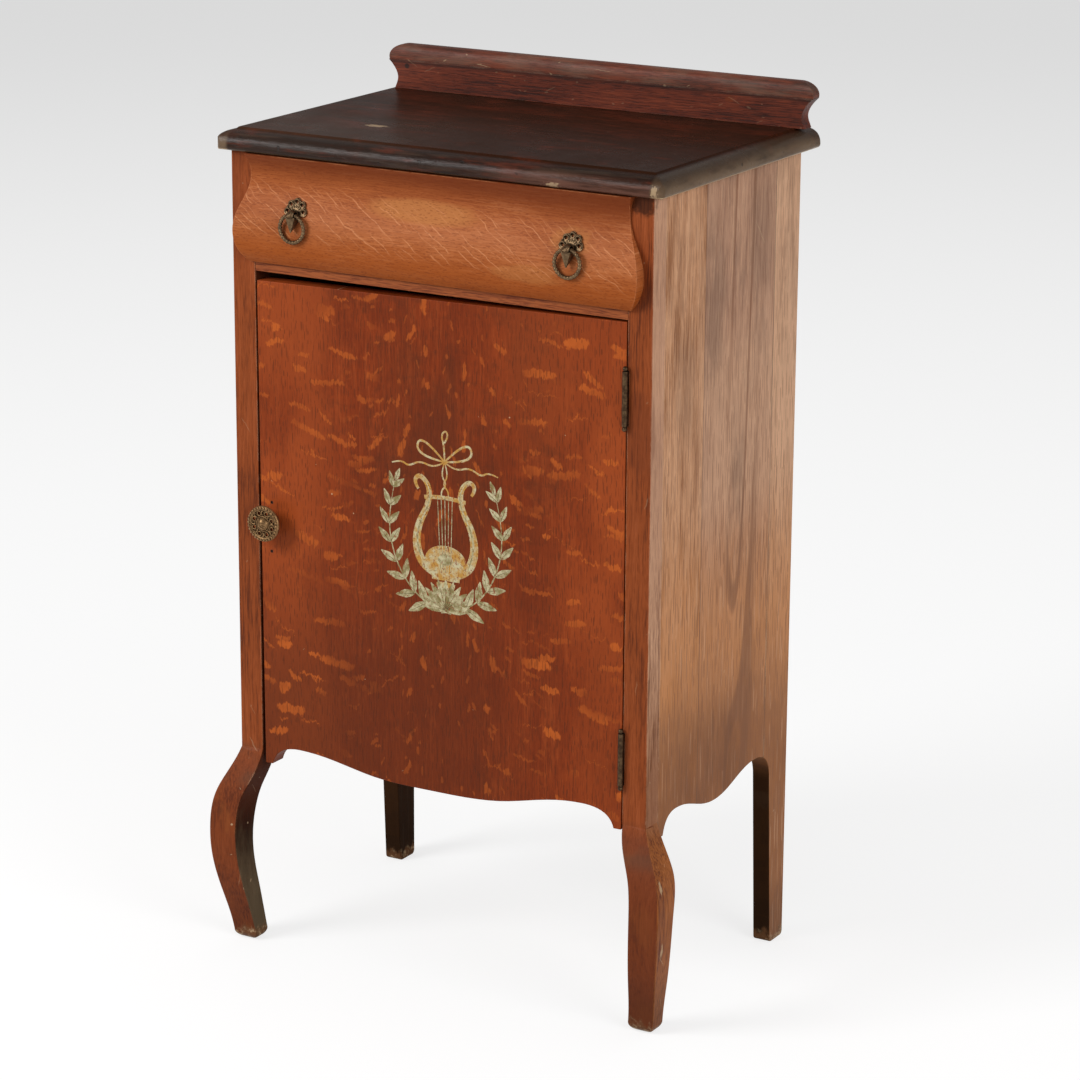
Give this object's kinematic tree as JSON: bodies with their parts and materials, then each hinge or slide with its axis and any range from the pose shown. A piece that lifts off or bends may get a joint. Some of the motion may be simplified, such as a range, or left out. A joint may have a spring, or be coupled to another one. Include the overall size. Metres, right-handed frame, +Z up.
{
  "type": "music cabinet",
  "caption": "Upright oak music cabinet with serpentine drawer, hinged door over shelves, cabriole front legs and a gallery rail on a moulded top.",
  "frame": {"origin": "on the floor under the middle of the overall box", "axes": "+Z up, +Y towards the back, +X to the right seen from the front; the door and drawer face -Y"},
  "size_m": [0.5556, 0.357, 0.9475],
  "materials": {
    "oak_dark": "dark stained oak, worn",
    "oak_red": "red-brown stained oak",
    "oak_door": "red-brown quarter-sawn oak",
    "oak_honey": "honey quarter-sawn oak",
    "oak_side": "tan brown oak, stained",
    "plain_wood": "unfinished softwood",
    "brass_old": "antique brass, dull",
    "bronze_dark": "darkened brass"
  },
  "bodies": {
    "case": {"top_board": "oak_dark", "gallery": "oak_dark", "front_post_left": "oak_red", "front_post_right": "oak_red", "front_leg_left": "oak_red", "front_leg_right": "oak_red", "drawer_rail": "oak_red", "side_panel_left": "oak_side", "side_panel_right": "oak_side", "rear_post_left": "oak_side", "rear_post_right": "oak_side", "back_panel": "plain_wood", "bottom_board": "plain_wood", "shelf_1": "plain_wood", "shelf_2": "plain_wood", "shelf_3": "plain_wood", "shelf_4": "plain_wood", "drawer_runner_left": "plain_wood", "drawer_runner_right": "plain_wood", "top_cleat_left": "plain_wood", "top_cleat_right": "plain_wood", "leg_dowels": "plain_wood", "hinge_upper_post_leaf": "bronze_dark", "hinge_upper_pin": "bronze_dark", "hinge_lower_post_leaf": "bronze_dark", "hinge_lower_pin": "bronze_dark"},
    "door": {"door_panel": "oak_door", "hinge_upper_door_leaf": "bronze_dark", "hinge_lower_door_leaf": "bronze_dark"},
    "knob": {"knob_disc": "brass_old", "knob_stem": "brass_old", "catch_tongue": "bronze_dark"},
    "drawer": {"drawer_front": "oak_honey", "drawer_side_left": "plain_wood", "drawer_side_right": "plain_wood", "drawer_back": "plain_wood", "drawer_bottom": "plain_wood", "pull_plate_left": "brass_old", "pull_plate_right": "brass_old", "pull_post_left": "brass_old", "pull_post_right": "brass_old", "pull_nuts": "bronze_dark"},
    "left_ring": {"ring_left": "brass_old"},
    "right_ring": {"ring_right": "brass_old"}
  },
  "joints": [
    {"name": "door_swing", "type": "hinge", "parent": "case", "child": "door", "pos_m": [0.2214, -0.1579, 0.484], "axis": [0, 0, 1], "range_deg": [0, 110]},
    {"name": "knob_turn", "type": "hinge", "parent": "door", "child": "knob", "pos_m": [-0.2045, -0.1545, 0.484], "axis": [0, -1, 0], "range_deg": [0, 90]},
    {"name": "drawer_slide", "type": "slide", "parent": "case", "child": "drawer", "axis": [0, -1, 0], "range_m": [0, 0.22]},
    {"name": "left_ring_lift", "type": "hinge", "parent": "drawer", "child": "left_ring", "pos_m": [-0.163, -0.1733, 0.819], "axis": [-1, 0, 0], "range_deg": [0, 110]},
    {"name": "right_ring_lift", "type": "hinge", "parent": "drawer", "child": "right_ring", "pos_m": [0.163, -0.1733, 0.819], "axis": [-1, 0, 0], "range_deg": [0, 110]}
  ]
}
